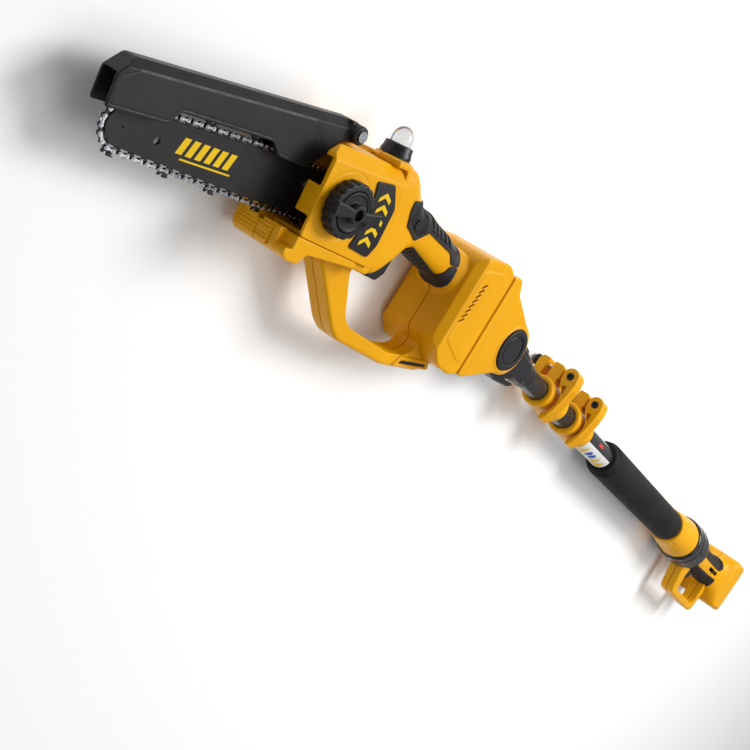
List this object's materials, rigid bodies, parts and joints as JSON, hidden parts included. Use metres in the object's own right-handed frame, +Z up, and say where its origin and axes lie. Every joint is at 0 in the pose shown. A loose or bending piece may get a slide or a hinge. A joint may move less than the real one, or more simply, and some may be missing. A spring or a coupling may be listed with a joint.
{
  "type": "telescoping pole saw",
  "caption": "Battery chain saw with a tip guard on a tilting adapter, carried by a telescoping pole with cam clamps, foam grip and looped rear handle.",
  "frame": {"origin": "centre of the underside of the whole object as it lies on its motor side, pole collapsed", "axes": "+X along the pole from the saw tip to the rear handle; +Y from the hand loops towards the oil bulb; +Z up, out of the knob side"},
  "size_m": [1.7622, 0.1806, 0.0955],
  "materials": {
    "yellow_plastic": "moulded amber yellow, fine texture, satin",
    "black_plastic": "moulded charcoal, satin",
    "grip_rubber": "soft ribbed overmould",
    "foam_black": "closed-cell foam",
    "tube_enamel": "dark grey enamel, semi-gloss",
    "bar_steel": "dark grey coated steel",
    "chain_steel": "bright links, dark cutters",
    "bright_steel": "zinc plated",
    "bulb_clear": "clear soft plastic",
    "circuit_board": "lacquered board",
    "copper_winding": "enamelled copper"
  },
  "bodies": {
    "root": {"outer_tube": "tube_enamel", "clamp_2_ring": "yellow_plastic", "clamp_2_pin": "bright_steel", "clamp_2_bolt": "bright_steel", "clamp_2_nut": "black_plastic", "power_cable": "grip_rubber", "foam_grip": "foam_black", "coupling_sleeve": "yellow_plastic", "handle_shell_near": "yellow_plastic", "handle_shell_far": "yellow_plastic", "handle_pad_top": "grip_rubber", "handle_pad_bottom": "grip_rubber", "handle_terminals": "black_plastic", "handle_switch": "black_plastic"},
    "lock_collar": {"lock_collar": "black_plastic"},
    "handle_trigger": {"handle_trigger": "black_plastic"},
    "handle_slider": {"handle_slider": "black_plastic"},
    "mid_pole": {"middle_tube": "tube_enamel", "clamp_1_ring": "yellow_plastic", "clamp_1_pin": "bright_steel", "clamp_1_bolt": "bright_steel", "clamp_1_nut": "black_plastic"},
    "lever_1": {"clamp_1_lever": "yellow_plastic"},
    "lever_2": {"clamp_2_lever": "yellow_plastic"},
    "top_pole": {"inner_tube": "tube_enamel", "knuckle_near": "black_plastic", "knuckle_far": "black_plastic"},
    "adapter": {"adapter_shell_near": "yellow_plastic", "adapter_shell_far": "yellow_plastic", "pivot_axle": "bright_steel", "pivot_cap": "black_plastic", "adapter_contacts": "black_plastic"},
    "tilt_button": {"tilt_button": "black_plastic"},
    "adapter_latch": {"adapter_latch": "black_plastic"},
    "saw": {"saw_shell_near": "yellow_plastic", "saw_shell_far": "yellow_plastic", "guide_bar": "bar_steel", "saw_chain": "chain_steel", "guard_pin": "bright_steel", "bar_stud": "bright_steel", "motor_stator": "copper_winding", "shaft_bearing": "bright_steel", "bulb_ring": "black_plastic", "badge_plate": "black_plastic", "motor_cover": "yellow_plastic", "front_chin": "yellow_plastic", "sprocket_cover": "yellow_plastic", "saw_pad_top": "grip_rubber", "saw_pad_bottom": "grip_rubber", "saw_switch": "black_plastic", "control_board": "circuit_board", "saw_contacts": "black_plastic"},
    "guard": {"tip_guard": "black_plastic"},
    "tension_ring": {"tension_ring": "black_plastic"},
    "lock_knob": {"lock_knob": "black_plastic"},
    "drive": {"rotor": "bright_steel", "drive_sprocket": "bright_steel"},
    "saw_trigger": {"saw_trigger": "black_plastic"},
    "lock_off_button": {"lock_off_button": "black_plastic"},
    "oil_bulb": {"oil_bulb": "bulb_clear"}
  },
  "joints": [
    {"name": "mid_slide", "type": "slide", "parent": "root", "child": "mid_pole", "axis": [-1, 0, 0], "range_m": [0, 0.43]},
    {"name": "top_slide", "type": "slide", "parent": "mid_pole", "child": "top_pole", "axis": [-1, 0, 0], "range_m": [0, 0.43]},
    {"name": "clamp_1_lever_swing", "type": "hinge", "parent": "mid_pole", "child": "lever_1", "pos_m": [-0.10891, 0.04783, 0.0595], "axis": [-1, 0, 0], "range_deg": [0, 110]},
    {"name": "clamp_2_lever_swing", "type": "hinge", "parent": "root", "child": "lever_2", "pos_m": [-0.00991, 0.04783, 0.0595], "axis": [-1, 0, 0], "range_deg": [0, 110]},
    {"name": "collar_twist", "type": "hinge", "parent": "root", "child": "lock_collar", "pos_m": [0.61609, 0.01383, 0.0385], "axis": [1, 0, 0], "range_deg": [0, 45]},
    {"name": "handle_trigger_press", "type": "slide", "parent": "root", "child": "handle_trigger", "axis": [0, 1, 0], "range_m": [0, 0.006], "stiffness_N_per_m": 500, "springref_m": -0.004},
    {"name": "handle_slider_move", "type": "slide", "parent": "root", "child": "handle_slider", "axis": [1, 0, 0], "range_m": [0, 0.008]},
    {"name": "head_tilt", "type": "hinge", "parent": "top_pole", "child": "adapter", "pos_m": [-0.29891, 0.01383, 0.0385], "axis": [0, 0, -1], "range_deg": [-60, 45]},
    {"name": "tilt_button_press", "type": "slide", "parent": "adapter", "child": "tilt_button", "axis": [0, 0, -1], "range_m": [0, 0.004], "stiffness_N_per_m": 1000, "springref_m": -0.004},
    {"name": "latch_press", "type": "slide", "parent": "adapter", "child": "adapter_latch", "axis": [-0.1392, 0.9903, 0], "range_m": [0, 0.003], "stiffness_N_per_m": 1000, "springref_m": -0.003},
    {"name": "saw_dock_slide", "type": "slide", "parent": "adapter", "child": "saw", "axis": [-0.1392, 0.9903, 0], "range_m": [0, 0.11]},
    {"name": "guard_lift", "type": "hinge", "parent": "saw", "child": "guard", "pos_m": [-0.66182, 0.04822, 0.0405], "axis": [0, 0, -1], "range_deg": [0, 50]},
    {"name": "tension_ring_turn", "type": "hinge", "parent": "saw", "child": "tension_ring", "pos_m": [-0.65244, -0.00642, 0.0825], "axis": [0, 0, 1], "range_deg": [-150, 150]},
    {"name": "lock_knob_turn", "type": "hinge", "parent": "saw", "child": "lock_knob", "pos_m": [-0.65244, -0.00642, 0.0845], "axis": [0, 0, 1], "range_deg": [-170, 170]},
    {"name": "drive_spin", "type": "hinge", "parent": "saw", "child": "drive", "pos_m": [-0.61206, 0.00174, 0.0285], "axis": [0, 0, -1], "continuous": true},
    {"name": "saw_trigger_press", "type": "slide", "parent": "saw", "child": "saw_trigger", "axis": [-0.2924, 0.9563, 0], "range_m": [0, 0.005], "stiffness_N_per_m": 500, "springref_m": -0.004},
    {"name": "lock_off_press", "type": "slide", "parent": "saw", "child": "lock_off_button", "axis": [0, 0, -1], "range_m": [0, 0.003], "stiffness_N_per_m": 500, "springref_m": -0.003},
    {"name": "bulb_press", "type": "slide", "parent": "saw", "child": "oil_bulb", "axis": [0.2924, -0.9563, 0], "range_m": [0, 0.003], "stiffness_N_per_m": 500, "springref_m": -0.003}
  ]
}
